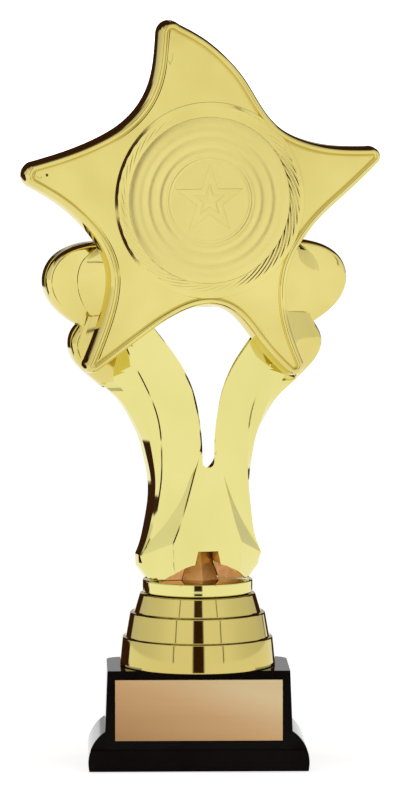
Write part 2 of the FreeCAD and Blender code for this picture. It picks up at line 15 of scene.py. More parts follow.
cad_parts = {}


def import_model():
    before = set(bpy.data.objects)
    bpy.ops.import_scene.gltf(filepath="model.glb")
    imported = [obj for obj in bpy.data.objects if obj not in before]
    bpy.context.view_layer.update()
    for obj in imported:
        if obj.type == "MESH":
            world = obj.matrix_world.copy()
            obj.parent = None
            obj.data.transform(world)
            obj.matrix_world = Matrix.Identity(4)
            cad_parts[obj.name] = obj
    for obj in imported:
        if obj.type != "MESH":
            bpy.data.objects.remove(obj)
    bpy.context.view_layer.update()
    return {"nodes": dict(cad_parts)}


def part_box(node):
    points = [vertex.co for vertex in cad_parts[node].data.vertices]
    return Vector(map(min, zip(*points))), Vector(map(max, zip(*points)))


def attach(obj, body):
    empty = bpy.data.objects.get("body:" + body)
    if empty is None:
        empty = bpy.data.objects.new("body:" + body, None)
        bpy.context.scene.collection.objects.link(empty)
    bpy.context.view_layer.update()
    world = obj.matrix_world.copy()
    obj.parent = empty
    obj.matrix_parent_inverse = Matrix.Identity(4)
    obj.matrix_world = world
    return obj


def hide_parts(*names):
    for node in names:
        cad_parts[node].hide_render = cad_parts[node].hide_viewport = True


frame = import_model()

MM = 0.001
TURN = math.radians(13.0)       # the figure's turn about the rod
COS_TURN = math.cos(TURN)
SIN_TURN = math.sin(TURN)

# ---- outlines ---------------------------------------------------------------------

STAR_SIDES = [
    ([(-8.8, 225.9), (-1.6, 222.0), (5.6, 216.2), (11.7, 209.2), (16.1, 202.2),
      (22.0, 195.1), (30.4, 190.8), (40.0, 188.9), (50.0, 188.6)], (53.9, 186.4)),
    ([(52.9, 183.0), (43.0, 174.0), (35.0, 166.9), (29.4, 160.0), (25.6, 152.6),
      (24.4, 145.0), (25.4, 136.0), (29.8, 123.8)], (28.8, 120.2)),
    ([(24.4, 119.9), (18.8, 125.4), (12.8, 132.8), (6.3, 139.3), (0.0, 141.0),
      (-7.8, 139.2), (-17.2, 133.9), (-27.4, 126.6), (-34.0, 121.9)], (-37.5, 121.8)),
    ([(-37.8, 125.6), (-34.6, 133.6), (-31.9, 142.0), (-31.0, 151.0), (-33.4, 158.6),
      (-38.8, 165.8), (-45.6, 171.8), (-54.8, 177.4)], (-57.0, 181.2)),
    ([(-54.6, 184.8), (-42.6, 188.3), (-33.9, 191.8), (-27.2, 195.6), (-20.6, 202.4),
      (-17.4, 209.4), (-16.1, 216.8), (-15.6, 223.2)], (-13.2, 226.6)),
]
LOWER_SCROLL = [(29.2, 115.9), (35.0, 120.9), (38.3, 125.2), (39.1, 130.2), (36.8, 134.8)]
UPPER_SCROLL = [(36.8, 134.8), (42.4, 138.8), (46.0, 143.6), (47.0, 149.4),
                (44.8, 154.6), (39.8, 158.2), (34.0, 159.8)]
SCROLL_TOP_Z = 161.5
LOWER_PETAL_EDGE = [(30.6, 117.6), (34.2, 121.4), (36.9, 125.6), (37.5, 130.0), (35.9, 134.6),
                    (34.6, 137.6)]
LOWER_PETAL_ROOT = [(28.4, 118.4), (28.2, 122.4), (27.2, 126.4), (26.2, 130.6), (25.3, 134.8),
                    (24.9, 138.6)]
PETAL_EDGE = [(24.0, 129.0), (30.3, 134.4), (35.6, 140.6), (37.8, 148.9),
              (36.6, 153.8), (31.4, 158.8)]
PETAL_ROOT = [(22.5, 128.8), (23.6, 136.0), (24.0, 144.0), (24.6, 150.0),
              (26.0, 154.6), (28.4, 158.6)]

# the star's cross-section from its back edge to its face: (inset, forward depth)
STAR_RIM = [(0.0, 9.5), (0.0, 9.9), (0.2, 11.6), (0.42, 13.4), (0.6, 14.2), (0.85, 14.75),
            (1.15, 15.1), (1.45, 15.32), (1.75, 15.38), (2.05, 15.3), (2.3, 15.12), (2.5, 14.88),
            (2.6, 14.62), (2.75, 14.52), (2.9, 14.6), (3.1, 14.7), (3.5, 14.75), (4.2, 14.72)]
STAR_FACE = 14.72
STAR_BACK = STAR_RIM[0][1]
DIMPLES = [(-11.0, 217.4, 3.4, 0.5), (-51.4, 181.2, 1.6, 0.5)]    # x, z, radius, depth

MEDALLION_Z = 172.9
INSERT_FACE = 14.7
INSERT_BACK = INSERT_FACE - 1.3
ROPE_OUTER = 29.3
ROPE_INNER = 25.0
ROPE_BACK = INSERT_FACE - 1.2
ROPE_ROWS = 30
ROPE_FLANK = 0.22       # share of the rope's width taken by its sloping outer side
ROPE_LIP = 0.16         # how far the outer edge stands above the insert
ROPE_RISE = 0.23        # and how far the flank rises from it
STRANDS = 46
STRAND_STEPS = 15       # points along the ring for each strand
STRAND_SWEEP = math.radians(36.0)
STRAND_RISE = 0.13
SEAT_RADIUS = ROPE_INNER + 1.0      # round recess in the star's face, hidden by the rope
SEAT_FLOOR = 13.2
# the insert's section, from its back edge over the face to the middle: (radius, rise)
DISC_EDGE = [(24.95, -1.3), (24.95, -0.04), (24.9, 0.0)]
DISC_RINGS = [(22.6, 0.0), (21.7, 0.02), (20.9, 0.09), (20.2, 0.05), (19.2, -0.09),
              (18.3, 0.04), (17.5, 0.10), (16.6, 0.03), (15.6, -0.09), (14.9, 0.03),
              (14.2, 0.07), (13.5, 0.01), (13.05, 0.0), (12.9, -0.06), (12.75, 0.0),
              (12.2, 0.0), (11.6, 0.0)]
DISC_STEPS = 240
# nested stars: radius of the points and of the waist, height of foot, rim and middle
EMBLEM_STARS = [(11.5, 4.5, 0.0, 0.13, 0.15), (5.2, 2.1, 0.1, 0.25, 0.27)]
EMBLEM_SINK = 0.2       # how deep each star's foot reaches into what it stands on


# ---- small helpers ----------------------------------------------------------------

def world(x, depth, z):
    """A point of the figure's own frame, in metres in the row frame."""
    return Vector((MM * (x * COS_TURN + depth * SIN_TURN),
                   MM * (x * SIN_TURN - depth * COS_TURN), MM * z))


def smooth(points, count):
    """Natural cubic spline through points of any dimension, evenly sampled."""
    pts = np.asarray(points, float)
    steps = np.sqrt(((pts[1:] - pts[:-1]) ** 2).sum(1))
    knots = np.concatenate([[0.0], np.cumsum(steps)])
    n = len(pts)
    matrix = np.zeros((n, n))
    right = np.zeros(pts.shape)
    matrix[0, 0] = matrix[-1, -1] = 1.0
    for i in range(1, n - 1):
        before, after = steps[i - 1], steps[i]
        matrix[i, i - 1] = before
        matrix[i, i] = 2 * (before + after)
        matrix[i, i + 1] = after
        right[i] = 6 * ((pts[i + 1] - pts[i]) / after - (pts[i] - pts[i - 1]) / before)
    curve = np.linalg.solve(matrix, right)
    out = []
    for t in np.linspace(0, knots[-1], count):
        i = min(int(np.searchsorted(knots, t, "right")) - 1, n - 2)
        h = steps[i]
        a, b = knots[i + 1] - t, t - knots[i]
        out.append(curve[i] * a ** 3 / (6 * h) + curve[i + 1] * b ** 3 / (6 * h)
                   + (pts[i] / h - curve[i] * h / 6) * a
                   + (pts[i + 1] / h - curve[i + 1] * h / 6) * b)
    return np.array(out)


def arc_points(start, middle, end, count):
    """Points along the circle arc through three points in a plane."""
    (ax, ay), (bx, by), (cx, cy) = start, middle, end
    d = 2 * (ax * (by - cy) + bx * (cy - ay) + cx * (ay - by))
    ux = ((ax * ax + ay * ay) * (by - cy) + (bx * bx + by * by) * (cy - ay)
          + (cx * cx + cy * cy) * (ay - by)) / d
    uy = ((ax * ax + ay * ay) * (cx - bx) + (bx * bx + by * by) * (ax - cx)
          + (cx * cx + cy * cy) * (bx - ax)) / d
    radius = math.hypot(ax - ux, ay - uy)
    first = math.atan2(ay - uy, ax - ux)
    mid = math.atan2(by - uy, bx - ux)
    last = math.atan2(cy - uy, cx - ux)
    full = 2 * math.pi
    span = (last - first) % full
    if (mid - first) % full > span:
        span -= full
    return [(ux + radius * math.cos(first + span * k / (count - 1)),
             uy + radius * math.sin(first + span * k / (count - 1))) for k in range(count)]


def star_loop(per_side=64, per_tip=13):
    """The star's closed outline, clockwise from the top point."""
    loop = []
    for index, (points, tip) in enumerate(STAR_SIDES):
        following = STAR_SIDES[(index + 1) % len(STAR_SIDES)][0]
        loop.extend(tuple(p) for p in smooth(points, per_side)[:-1])
        loop.extend(arc_points(points[-1], tip, following[0], per_tip)[:-1])
    return np.array(loop)


def scroll_loop():
    """The scrolls' closed outline: right edge up, over the top, left edge down."""
    lower, upper = smooth(LOWER_SCROLL, 34), smooth(UPPER_SCROLL, 60)
    right = list(lower[:-1]) + list(upper)
    top = arc_points(tuple(upper[-1]), (0, SCROLL_TOP_Z), (-upper[-1][0], upper[-1][1]), 40)
    left = [(-x, z) for x, z in reversed(right)]
    return np.array([tuple(p) for p in right] + top[1:-1] + left)


def signed_area(loop):
    x, z = loop[:, 0], loop[:, 1]
    return 0.5 * float(np.sum(x * np.roll(z, -1) - np.roll(x, -1) * z))


def edge_distance(points, loop):
    """Shortest distance from each point to the closed outline."""
    a, b = loop, np.roll(loop, -1, axis=0)
    along = b - a
    length2 = (along ** 2).sum(1)
    best = np.full(len(points), 1e9)
    for k in range(len(a)):
        t = np.clip(((points - a[k]) @ along[k]) / length2[k], 0, 1)
        gap = points - (a[k] + t[:, None] * along[k])
        best = np.minimum(best, np.sqrt((gap ** 2).sum(1)))
    return best


def inset_loop(loop, distance):
    """The outline moved inward, with the same number of points; runs that
    would cross at a tight tip are drawn together onto the tip's middle line."""
    if distance <= 0:
        return loop.copy()
    forward = np.roll(loop, -1, axis=0) - np.roll(loop, 1, axis=0)
    forward /= np.sqrt((forward ** 2).sum(1))[:, None]
    sign = 1.0 if signed_area(loop) > 0 else -1.0
    normal = np.stack([-forward[:, 1], forward[:, 0]], 1) * sign
    moved = loop + normal * distance
    good = edge_distance(moved, loop) > distance - 0.02
    count = len(loop)
    out = moved.copy()
    if good.all():
        return out
    start = int(np.argmax(good))
    k = 0
    while k < count:
        i = (start + k) % count
        if good[i]:
            k += 1
            continue
        run = 0
        while not good[(i + run) % count]:
            run += 1
        before = moved[(i - 1) % count]
        after = moved[(i + run) % count]
        for step in range(run):
            share = (step + 1) / (run + 1)
            out[(i + step) % count] = before * (1 - share) + after * share
        k += run
    return out


def inside(points, loop):
    """True for each point inside the closed outline."""
    result = np.zeros(len(points), bool)
    x, z = points[:, 0], points[:, 1]
    a, b = loop, np.roll(loop, -1, axis=0)
    for (ax, az), (bx, bz) in zip(a, b):
        if az == bz:
            continue
        crosses = (az > z) != (bz > z)
        result ^= crosses & (x < (bx - ax) * (z - az) / (bz - az) + ax)
    return result


class Builder:
    """Collects points and faces, welds them and makes one object."""

    def __init__(self):
        self.points = []
        self.faces = []

    def add(self, points):
        first = len(self.points)
        self.points.extend(Vector(p) for p in points)
        return list(range(first, first + len(points)))

    def strip(self, one, two, closed=False):
        """Quads between two rows of equally many point indices."""
        count = len(one)
        for k in range(count if closed else count - 1):
            n = (k + 1) % count
            self.faces.append((one[k], one[n], two[n], two[k]))

    def rows(self, rows, closed=False):
        indices = [self.add(row) for row in rows]
        for a, b in zip(indices, indices[1:]):
            self.strip(a, b, closed)
        return indices

    def fan(self, row, tip):
        """Triangles from a closed row of point indices to one point."""
        for k, corner in enumerate(row):
            self.faces.append((corner, row[(k + 1) % len(row)], tip))

    def fill(self, loop, depth_at, spacing=1.2, hole=None, margin=0.5):
        """Triangulated cap over an outline, its depth given by depth_at(points)."""
        borders = [loop] + ([hole] if hole is not None else [])
        low, high = loop.min(0), loop.max(0)
        grid = np.array([(x, z) for x in np.arange(low[0], high[0], spacing)
                         for z in np.arange(low[1], high[1], spacing)])
        keep = inside(grid, loop)
        for border in borders:
            keep &= edge_distance(grid, border) > margin
        if hole is not None:
            keep &= ~inside(grid, hole)
        grid = grid[keep]
        flat, edges = [], []
        for border in borders:
            first = len(flat)
            flat.extend(tuple(p) for p in border)
            count = len(border)
            edges.extend((first + k, first + (k + 1) % count) for k in range(count))
        flat.extend(tuple(p) for p in grid)
        found = delaunay_2d_cdt([Vector(p) for p in flat], edges, [], 0, 1e-5)
        verts = np.array([(v.x, v.y) for v in found[0]])
        triangles = found[2]
        middles = np.array([verts[list(t)].mean(0) for t in triangles])
        ok = inside(middles, loop)
        if hole is not None:
            ok &= ~inside(middles, hole)
        depths = depth_at(verts)
        first = len(self.points)
        self.points.extend(world(x, d, z) for (x, z), d in zip(verts, depths))
        for t, use in zip(triangles, ok):
            if use:
                self.faces.append(tuple(first + i for i in t))

    def build(self, name, sharp_degrees=35.0, weld=0.02):
        mesh = bpy.data.meshes.new(name)
        work = bmesh.new()
        verts = [work.verts.new(p) for p in self.points]
        for face in self.faces:
            corners = []
            for i in face:
                if verts[i] not in corners:
                    corners.append(verts[i])
            if len(corners) > 2:
                try:
                    work.faces.new(corners)
                except ValueError:
                    pass
        bmesh.ops.remove_doubles(work, verts=work.verts, dist=weld * MM)
        bmesh.ops.dissolve_degenerate(work, edges=work.edges, dist=0.002 * MM)
        loose = [v for v in work.verts if not v.link_faces]
        bmesh.ops.delete(work, geom=loose, context="VERTS")
        bmesh.ops.recalc_face_normals(work, faces=work.faces)
        work.to_mesh(mesh)
        work.free()
        for polygon in mesh.polygons:
            polygon.use_smooth = True
        mesh.set_sharp_from_angle(angle=math.radians(sharp_degrees))
        thing = bpy.data.objects.new(name, mesh)
        bpy.context.scene.collection.objects.link(thing)
        return thing


def flat_row(loop, depth):
    return [world(x, depth, z) for x, z in loop]


def flat_cap(depth):
    """Depth function of a flat cap."""
    return lambda points: np.full(len(points), depth)


def lathe(builder, profile, centre, steps=160):
    """Rows of a surface turned about the vertical axis: (radius, z) in mm."""
    rows = []
    for radius, z in profile:
        rows.append([(centre[0] + MM * radius * math.cos(2 * math.pi * k / steps),
                      centre[1] + MM * radius * math.sin(2 * math.pi * k / steps),
                      MM * z) for k in range(steps)])
    builder.rows(rows, closed=True)


def dress(thing, material, body, slot, *nodes):
    """Material, body and the CAD nodes a piece stands for; the record slot is not used."""
    thing.data.materials.clear()
    thing.data.materials.append(material)
    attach(thing, body)
    if nodes:
        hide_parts(*nodes)


# ---- materials ----------------------------------------------------------------------

def new_material(name):
    material = bpy.data.materials.new(name)
    material.use_nodes = True
    nodes, links = material.node_tree.nodes, material.node_tree.links
    return material, nodes, links, nodes["Principled BSDF"]


def noise(nodes, links, scale, detail=3.0, stretch=(1, 1, 1)):
    """Noise in the object's own coordinates, in features per metre."""
    place = nodes.new("ShaderNodeTexCoord")
    mapping = nodes.new("ShaderNodeMapping")
    mapping.inputs["Scale"].default_value = stretch
    texture = nodes.new("ShaderNodeTexNoise")
    texture.inputs["Scale"].default_value = scale
    texture.inputs["Detail"].default_value = detail
    links.new(place.outputs["Object"], mapping.inputs["Vector"])
    links.new(mapping.outputs["Vector"], texture.inputs["Vector"])
    return texture.outputs["Fac"]


def ramp(nodes, links, value, stops):
    """Colour ramp over a value: stops are (position, colour or grey)."""
    node = nodes.new("ShaderNodeValToRGB")
    elements = node.color_ramp.elements
    while len(elements) < len(stops):
        elements.new(0.5)
    for element, (position, colour) in zip(elements, stops):
        element.position = position
        if not hasattr(colour, "__len__"):
            colour = (colour, colour, colour)
        element.color = (*colour, 1.0)
    links.new(value, node.inputs["Fac"])
    return node.outputs["Color"]


def add_bump(nodes, links, shader, height, strength, distance):
    bump = nodes.new("ShaderNodeBump")
    bump.inputs["Strength"].default_value = strength
    bump.inputs["Distance"].default_value = distance
    links.new(height, bump.inputs["Height"])
    links.new(bump.outputs["Normal"], shader.inputs["Normal"])


def metal(name, dark, light, rough, wave=0.0, grain=900.0):
    """Metallised surface with faint colour drift, uneven gloss and waviness."""
    material, nodes, links, shader = new_material(name)
    shader.inputs["Metallic"].default_value = 1.0
    drift = noise(nodes, links, 38.0, 2.0)
    links.new(ramp(nodes, links, drift, [(0.3, dark), (0.7, light)]), shader.inputs["Base Color"])
    haze = noise(nodes, links, grain, 4.0)
    links.new(ramp(nodes, links, haze, [(0.35, rough * 0.8), (0.75, rough * 1.25)]),
              shader.inputs["Roughness"])
    if wave:
        add_bump(nodes, links, shader, noise(nodes, links, 95.0, 1.0), wave, 0.0004)
    return material


def plastic(name, dark, light, rough, bump=0.1, grain=1400.0):
    material, nodes, links, shader = new_material(name)
    drift = noise(nodes, links, 60.0, 3.0)
    links.new(ramp(nodes, links, drift, [(0.3, dark), (0.7, light)]), shader.inputs["Base Color"])
    speck = noise(nodes, links, grain, 5.0)
    links.new(ramp(nodes, links, speck, [(0.35, rough * 0.85), (0.75, rough * 1.2)]),
              shader.inputs["Roughness"])
    add_bump(nodes, links, shader, speck, bump, 0.00005)
    return material


def brushed(name, dark, light, rough, lines_scale=900.0, contrast=0.5):
    """Metal sheet with fine straight brush lines along X."""
    material, nodes, links, shader = new_material(name)
    shader.inputs["Metallic"].default_value = 1.0
    lines = noise(nodes, links, lines_scale, 4.0, (0.02, 1, 3))
    spread = 0.25 / contrast
    colour = ramp(nodes, links, lines, [(0.5 - spread, dark), (0.5 + spread, light)])
    links.new(colour, shader.inputs["Base Color"])
    links.new(ramp(nodes, links, lines, [(0.3, rough), (0.75, rough + 0.06)]),
              shader.inputs["Roughness"])
    add_bump(nodes, links, shader, lines, 0.12, 0.00002)
    return material


def plate_with_painted_sheen():
    """Copper-gold sheet brushed along X, with a painted sheen: paler towards its upper right
    corner.
    """
    material = brushed("plate_metal", (0.95, 0.95, 0.95), (1.0, 1.0, 1.0), 0.40)
    nodes, links = material.node_tree.nodes, material.node_tree.links
    shader = nodes["Principled BSDF"]
    brush = shader.inputs["Base Color"].links[0].from_socket
    low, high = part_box("engraving_plate")
    place = nodes.new("ShaderNodeTexCoord")
    split_place = nodes.new("ShaderNodeSeparateXYZ")
    links.new(place.outputs["Object"], split_place.inputs[0])
    shares = []
    for axis in ("X", "Z"):
        node = nodes.new("ShaderNodeMapRange")
        node.inputs["From Min"].default_value = getattr(low, axis.lower())
        node.inputs["From Max"].default_value = getattr(high, axis.lower())
        node.inputs["To Max"].default_value = 0.5
        links.new(split_place.outputs[axis], node.inputs["Value"])
        shares.append(node.outputs[0])
    total = nodes.new("ShaderNodeMath")
    for socket, value in zip(total.inputs, shares):
        links.new(value, socket)
    # painted sheen: darker copper at the lower left to pale gold at the upper right, standing in
    # for the light across the plate
    painted_sheen = ramp(nodes, links, total.outputs[0], [(0.0, (0.60, 0.335, 0.145)),
                                                 (0.5, (0.86, 0.54, 0.26)),
                                                 (0.8, (1.0, 0.78, 0.44))])
    blend = nodes.new("ShaderNodeMix")
    blend.data_type = "RGBA"
    blend.blend_type = "MULTIPLY"
    blend.inputs["Factor"].default_value = 1.0
    links.new(painted_sheen, blend.inputs["A"])
    links.new(brush, blend.inputs["B"])
    links.new(blend.outputs["Result"], shader.inputs["Base Color"])
    return material


GOLD = metal("gold_star", (0.71, 0.59, 0.178), (0.83, 0.72, 0.25), 0.06, 0.03)
GOLD_STEM = metal("gold_figure", (0.79, 0.72, 0.255), (0.84, 0.77, 0.30), 0.06, 0.02)
GOLD_RISER = metal("gold_riser", (0.66, 0.54, 0.165), (0.70, 0.585, 0.19), 0.05, 0.03)
GOLD_INSERT = metal("gold_insert", (0.82, 0.70, 0.235), (0.87, 0.755, 0.27), 0.36, 0.0, 2600.0)
ROPE_GOLD = metal("gold_rope", (0.74, 0.62, 0.195), (0.84, 0.73, 0.255), 0.10, 0.02)
COPPER_CAP = metal("gold_cap", (0.94, 0.47, 0.22), (1.0, 0.57, 0.29), 0.5, 0.05)
# painted reflection: orange standing in for the gold reflecting itself inside the arched notch
NOTCH_PAINTED_REFLECTION = metal("notch_painted_reflection", (0.80, 0.37, 0.155), (0.92, 0.47, 0.21), 0.42, 0.05)
PLATE = plate_with_painted_sheen()
BLACK = plastic("plinth_black", (0.002, 0.0019, 0.0018), (0.004, 0.0038, 0.0036), 0.06, 0.02)
STEEL = brushed("steel_zinc", (0.45, 0.46, 0.47), (0.60, 0.61, 0.62), 0.28)
IRON = plastic("ballast_iron", (0.05, 0.048, 0.045), (0.09, 0.085, 0.08), 0.65, 0.6, 700.0)
BOARD = plastic("cover_board", (0.10, 0.06, 0.03), (0.16, 0.10, 0.06), 0.8, 0.5, 900.0)
FELT = plastic("felt_pad", (0.010, 0.011, 0.012), (0.022, 0.024, 0.026), 0.95, 0.9, 2600.0)
TAPE = plastic("glue_tape", (0.48, 0.46, 0.40), (0.58, 0.56, 0.50), 0.7, 0.3)

CAD_LOOKS = {
    "base_pad": FELT, "base_cover": BOARD, "ballast_block": IRON, "base_shell": BLACK,
    "plate_tape": TAPE, "engraving_plate": PLATE, "lower_washer": STEEL,
    "riser_shell": GOLD_RISER, "lock_washer": STEEL, "lower_nut": STEEL, "tie_rod": STEEL,
    "collar": GOLD_RISER, "upper_washer": STEEL, "upper_nut": STEEL, "nut_cap": COPPER_CAP,
    "stem_front": GOLD_STEM, "stem_rear": GOLD_STEM, "star_front": GOLD, "star_back": GOLD,
    "insert_pad": TAPE, "insert_disc": GOLD_INSERT, "rope_ring": GOLD,
}
for node_name, look in CAD_LOOKS.items():
    node = frame["nodes"][node_name]
    node.data.materials.clear()
    node.data.materials.append(look)


def soften(thing, width, segments=3, degrees=40.0):
    """Small rounding on the sharp edges of a piece."""
    bevel = thing.modifiers.new("edge", "BEVEL")
    bevel.width = width
    bevel.segments = segments
    bevel.limit_method = "ANGLE"
    bevel.angle_limit = math.radians(degrees)
    bevel.harden_normals = True


soften(frame["nodes"]["base_shell"], 0.0004)
soften(frame["nodes"]["engraving_plate"], 0.00012, 2)
soften(frame["nodes"]["nut_cap"], 0.0002, 2)

# ---- star -----------------------------------------------------------------------------

def circle(radius, count):
    """Outline round the medallion's middle, clockwise from the top."""
    return np.array([(radius * math.sin(2 * math.pi * k / count),
                      MEDALLION_Z + radius * math.cos(2 * math.pi * k / count))
                     for k in range(count)])


def make_star():
    """Tray with a drafted wall, a rounded bead, a fine groove and a face with two dents."""
    build = Builder()
    outline = star_loop()
    loops = [inset_loop(outline, inset) for inset, _ in STAR_RIM]
    inner = loops[-1]
    hole = circle(SEAT_RADIUS, 180)

    def face(points):
        depth = np.full(len(points), STAR_FACE)
        for x, z, radius, fall in DIMPLES:
            away = np.hypot(points[:, 0] - x, points[:, 1] - z) / radius
            depth -= fall * np.exp(-1.5 * away ** 2)
        return depth

    def face_row(loop):
        return [world(x, d, z) for (x, z), d in zip(loop, face(loop))]

    rim = [flat_row(loop, depth) for loop, (_, depth) in zip(loops, STAR_RIM)]
    rim[-1] = face_row(inner)
    build.rows(rim, closed=True)
    build.fill(inner, face, 0.8, hole, 0.35)
    lip = build.add(face_row(hole))
    seat = build.add(flat_row(hole, SEAT_FLOOR))
    build.strip(lip, seat, True)
    build.faces.append(tuple(seat))
    build.fill(outline, flat_cap(STAR_BACK), 6.0, None, 1.5)
    return build.build("star_body", 50.0)


def make_rope():
    """Ring of long slanting strands, with a sloping outer flank."""
    build = Builder()
    around = STRANDS * STRAND_STEPS
    back = [flat_row(circle(radius, around), depth) for radius, depth in (
        (ROPE_INNER, ROPE_BACK), (ROPE_OUTER + 0.3, ROPE_BACK),
        (ROPE_OUTER + 0.3, STAR_FACE - 0.1), (ROPE_OUTER + 0.16, STAR_FACE + 0.1))]
    front = []
    for j in range(ROPE_ROWS):
        share = j / (ROPE_ROWS - 1)
        inward = max(0.0, (share - ROPE_FLANK) / (1.0 - ROPE_FLANK))
        flank = min(1.0, share / ROPE_FLANK)
        crown = math.sin(math.pi * inward) ** 0.6
        smooth_depth = (INSERT_FACE + ROPE_LIP + ROPE_RISE * flank
                        - (ROPE_LIP + ROPE_RISE) * inward)
        row = []
        for k, (x, z) in enumerate(circle(ROPE_OUTER - share * (ROPE_OUTER - ROPE_INNER), around)):
            phase = STRANDS * (2 * math.pi * k / around + share * STRAND_SWEEP)
            row.append(world(x, smooth_depth + STRAND_RISE * math.sin(phase / 2) ** 2 * crown, z))
        front.append(row)
    build.rows(back + front + [back[0]], closed=True)
    return build.build("rope_border", 60.0, 0.004)


def make_insert():
    """Stamped disc with soft rings and a fine circle."""
    build = Builder()
    rings = [tuple(p) for p in smooth(DISC_RINGS, 70)]
    rows = build.rows([flat_row(circle(radius, DISC_STEPS), INSERT_FACE + rise)
                       for radius, rise in DISC_EDGE + rings], closed=True)
    middle, behind = build.add([world(0, INSERT_FACE, MEDALLION_Z),
                                world(0, INSERT_BACK, MEDALLION_Z)])
    build.fan(rows[-1], middle)
    build.fan(rows[0][::-1], behind)
    return build.build("medallion_disc", 40.0, 0.004)


def make_emblem():
    """Two nested five-pointed stars, each with a bevelled rim."""
    build = Builder()
    for radius, waist, foot, top, ridge in EMBLEM_STARS:
        outline = []
        for k in range(10):
            reach = radius if k % 2 == 0 else waist
            outline.append((reach * math.sin(math.pi * k / 5), reach * math.cos(math.pi * k / 5)))
        low, high, crown = (
            build.add([world(scale * x, INSERT_FACE + height, MEDALLION_Z + scale * z)
                       for x, z in outline])
            for scale, height in ((1.0, foot - EMBLEM_SINK), (0.93, top), (0.82, top - 0.04)))
        build.strip(low, high, True)
        build.strip(high, crown, True)
        tip, base = build.add([world(0, INSERT_FACE + ridge, MEDALLION_Z),
                               world(0, INSERT_FACE + foot - EMBLEM_SINK, MEDALLION_Z)])
        build.fan(crown, tip)
        build.fan(low[::-1], base)
    return build.build("medallion_star", 12.0, 0.001)


# ---- stem -------------------------------------------------------------------------------

# curves of the right-hand half, as (x, forward depth, z), from the top down
BELL_EDGE = [(2.4, 13.2, 96.5), (3.1, 13.2, 94.2), (4.9, 13.05, 87.4), (6.6, 12.8, 81.0),
             (8.4, 12.4, 74.7), (10.4, 11.8, 69.2)]
COLUMN_INNER = [(17.5, 13.0, 138.0), (12.5, 13.0, 130.2), (7.4, 13.0, 122.9), (3.9, 13.0, 115.6),
                (1.9, 13.0, 106.6), (1.7, 13.0, 100.5), (3.1, 12.9, 94.2), (5.4, 12.0, 89.0),
                (7.5, 11.2, 83.4), (9.8, 10.0, 78.9), (12.6, 7.9, 74.3), (15.5, 5.9, 70.3),
                (18.8, 4.8, 65.0)]
CREASE = [(26.0, 7.4, 138.0), (25.0, 7.4, 131.0), (23.4, 7.4, 126.6), (20.8, 7.2, 121.6),
          (17.3, 7.5, 114.6), (14.9, 8.1, 107.9), (13.9, 8.6, 101.8), (13.6, 8.6, 95.5),
          (13.7, 8.4, 88.4), (14.4, 7.9, 82.2), (15.1, 7.2, 77.2), (16.4, 5.9, 70.8),
          (18.8, 4.8, 65.0)]
RIM = [(34.6, 138.0), (34.4, 130.0), (32.4, 120.0), (28.8, 116.0), (25.0, 112.6), (22.3, 109.0),
       (20.1, 105.0), (18.4, 101.6), (16.6, 95.5), (15.4, 90.0), (15.0, 86.0), (15.2, 81.0),
       (16.0, 76.0), (16.9, 71.5), (18.0, 67.5), (19.3, 64.4)]
# height, and how far across and back from the crease to the rim the corner between lies
RECESS = [(138.0, 0.72, 1.3), (121.0, 0.72, 1.28), (116.0, 0.62, 0.85), (112.0, 0.64, 0.5),
          (108.0, 0.68, 0.38), (65.0, 0.7, 0.36)]
STEM_RINGS = 73
TRUNK_SHARP = 4.0       # degrees between faces from which an edge stays sharp
STRIP_WIDTH = 0.42      # narrow flats along the creases and the gap
STRIP_LEANS = (math.tan(math.radians(5.1)), math.tan(math.radians(13.5)))   # right, left
STEM_MIDDLE = 13.3      # depth of the middle line in front, of the rim and of the flat back
STEM_RIM = 1.9
STEM_BACK = -2.0
STEM_TOP_Z = 137.0
TIP_Z = 65.0
BELL_TOP_Z = 96.5
BELL_FOOT_Z = 69.2
# the skirt's widest ring and its foot, each as half a ring like stem_half's
WAIST = [(0, 13.25, 63.0), (5.0, 12.6, 63.0), (10.3, 11.9, 62.6), (10.6, 11.8, 62.6),
         (15.9, 6.0, 61.3), (16.15, 5.8, 61.25), (16.4, 5.6, 61.2), (18.0, 3.8, 61.4),
         (18.8, STEM_RIM, 61.4), (18.9, STEM_BACK, 61.4), (0, STEM_BACK, 61.4)]
FOOT = [(0, 13.2, 57.6), (4.6, 12.6, 57.6), (9.4, 12.0, 57.6), (9.7, 11.9, 57.6),
        (13.4, 7.1, 57.9), (13.65, 6.75, 57.75), (13.9, 6.4, 57.6), (15.2, 4.0, 57.6),
        (16.0, STEM_RIM, 57.6), (16.1, STEM_BACK, 57.6), (0, STEM_BACK, 57.6)]

# the gap between the columns: its right side as (x, z) at the ridge, and its round foot
OPENING = [(1.9, 94.0), (1.9, 100.0), (2.5, 106.6), (4.5, 115.6), (7.9, 122.9), (13.0, 130.2),
           (16.6, 135.0), (22.0, 142.0)]
GAP_RADIUS = 1.9
GAP_FOOT_Z = 93.9
GAP_RIDGE = 13.0
GAP_FRONT = 16.0
GAP_BACK = -12.0
GAP_FLARE = 0.28        # each side's widening per millimetre behind the ridge
GAP_DROP = 0.165        # the foot's fall per millimetre behind the ridge

# the arched notch round the nut cap, the tapered slot above it and the hollow inside
NOTCH_FRONT = 22.0
NOTCH_BACK = 3.0
NOTCH_FOOT_Z = 56.0
ARCH = [(-13.3, 57.2), (0, 63.1), (13.3, 57.2)]
KEY = [(-5.5, NOTCH_FOOT_Z), (5.5, NOTCH_FOOT_Z), (3.1, 66.7), (-3.1, 66.7)]
CAVITY = [(0.0, 55.0), (6.7, 55.0), (6.7, 57.0), (3.8, 66.8), (0.0, 66.8)]
WALL_ARCH = [(-13.2, 57.2), (0, 63.05), (13.2, 57.2)]
WALL_INNER_X = 4.35
WALL_THICKNESS = 0.35

